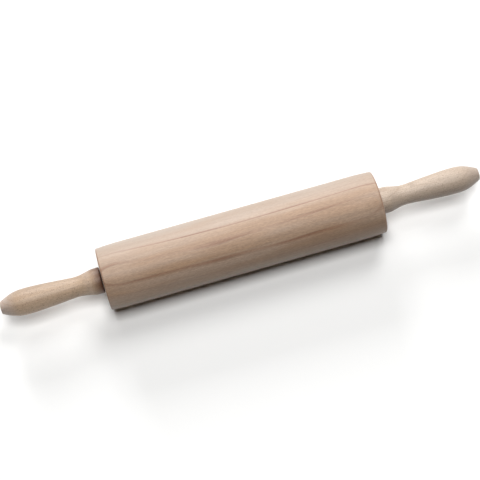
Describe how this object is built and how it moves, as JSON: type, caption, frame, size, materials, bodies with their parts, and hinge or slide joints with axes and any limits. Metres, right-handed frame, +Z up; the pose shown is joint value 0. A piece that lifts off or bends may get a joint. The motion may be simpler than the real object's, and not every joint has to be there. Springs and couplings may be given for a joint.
{
  "type": "rolling pin",
  "caption": "Wooden rolling pin: a straight barrel that revolves on ball bearings round a steel axle, with a turned wooden handle screwed to each end of the axle.",
  "frame": {"origin": "middle of the barrel, on the axle's centre line", "axes": "+X along the axle towards the right handle, +Z up, +Y away from the front view"},
  "size_m": [0.4336, 0.0566, 0.0566],
  "materials": {
    "barrel_wood": "fine-sanded, oiled matte",
    "handle_wood": "turned and sanded, satin",
    "axle_steel": "drawn rod, satin",
    "bearing_steel": "ground and polished",
    "cage_steel": "pressed, satin",
    "shield_steel": "pressed, satin",
    "spring_steel": "phosphated, dark satin",
    "insert_brass": "machined, satin"
  },
  "bodies": {
    "axle_and_handles": {"axle": "axle_steel", "left_handle": "handle_wood", "left_insert_nut": "insert_brass", "left_spacer": "axle_steel", "left_retaining_ring": "spring_steel", "left_inner_ring": "bearing_steel", "right_handle": "handle_wood", "right_insert_nut": "insert_brass", "right_spacer": "axle_steel", "right_retaining_ring": "spring_steel", "right_inner_ring": "bearing_steel"},
    "barrel": {"barrel": "barrel_wood", "left_outer_ring": "bearing_steel", "left_inboard_shield": "shield_steel", "left_outboard_shield": "shield_steel", "right_outer_ring": "bearing_steel", "right_inboard_shield": "shield_steel", "right_outboard_shield": "shield_steel"},
    "left_ball_set": {"left_cage": "cage_steel", "left_balls": "bearing_steel"},
    "right_ball_set": {"right_cage": "cage_steel", "right_balls": "bearing_steel"}
  },
  "joints": [
    {"name": "barrel_spin", "type": "hinge", "parent": "axle_and_handles", "child": "barrel", "pos_m": [0, 0, 0], "axis": [1, 0, 0], "continuous": true},
    {"name": "left_ball_orbit", "type": "hinge", "parent": "axle_and_handles", "child": "left_ball_set", "pos_m": [-0.1207, 0, 0], "axis": [1, 0, 0], "continuous": true},
    {"name": "right_ball_orbit", "type": "hinge", "parent": "axle_and_handles", "child": "right_ball_set", "pos_m": [0.1207, 0, 0], "axis": [1, 0, 0], "continuous": true}
  ],
  "couplings": [
    {"joint": "left_ball_orbit", "follows": "barrel_spin", "ratio": 0.6323},
    {"joint": "right_ball_orbit", "follows": "barrel_spin", "ratio": 0.6323}
  ]
}
